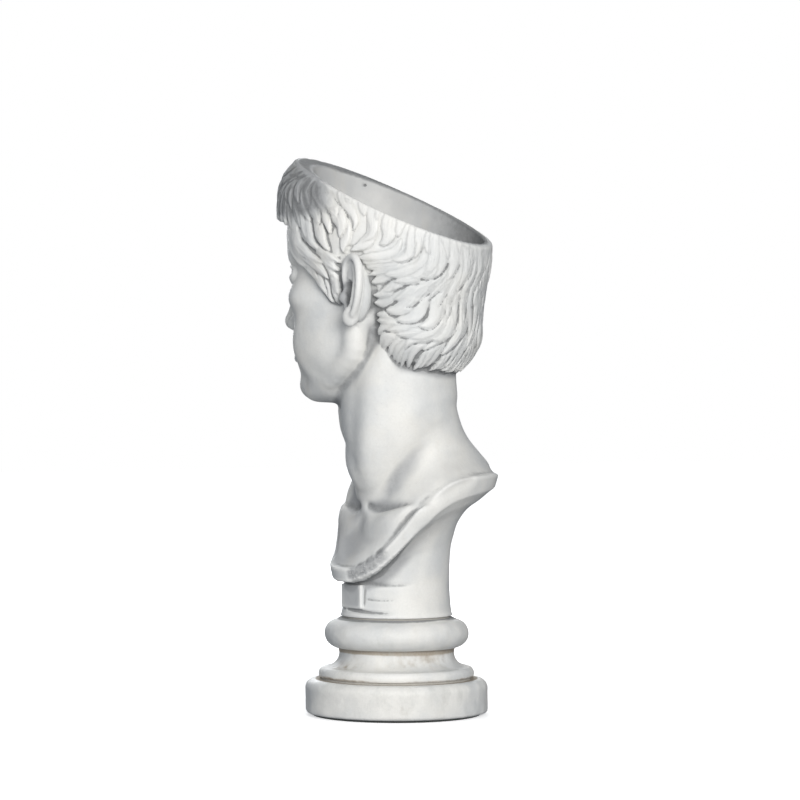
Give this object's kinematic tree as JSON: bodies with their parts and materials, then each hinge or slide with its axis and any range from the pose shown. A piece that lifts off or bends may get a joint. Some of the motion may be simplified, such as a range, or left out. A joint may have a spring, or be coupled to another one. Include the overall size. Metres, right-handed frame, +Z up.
{
  "type": "bust planter",
  "caption": "Classical stone bust with a turned head cut open on a slant to a hollow bowl, on a turned socle and round plinth.",
  "frame": {"origin": "centre of the felt base's underside, on the socle axis, at the rest plane", "axes": "+Z up along the socle axis, -Y the way the chest looks, +X the figure's left"},
  "size_m": [0.1991, 0.1897, 0.504],
  "materials": {
    "carved_stone": "matte hand-finished stone with grey patina in the grooves",
    "bedding_mortar": "matte lime mortar",
    "zinc_steel": "zinc plated",
    "brass": "turned",
    "felt": "pressed wool felt"
  },
  "bodies": {
    "root": {"bust": "carved_stone", "shaft_bedding_joint": "bedding_mortar", "socle": "carved_stone", "plinth_bedding_joint": "bedding_mortar", "plinth": "carved_stone", "anchor_sleeve": "brass", "tie_rod": "zinc_steel", "tie_washer": "zinc_steel", "tie_nut": "zinc_steel", "shaft_dowel": "zinc_steel", "plinth_dowel": "zinc_steel", "felt_base": "felt"}
  },
  "joints": []
}
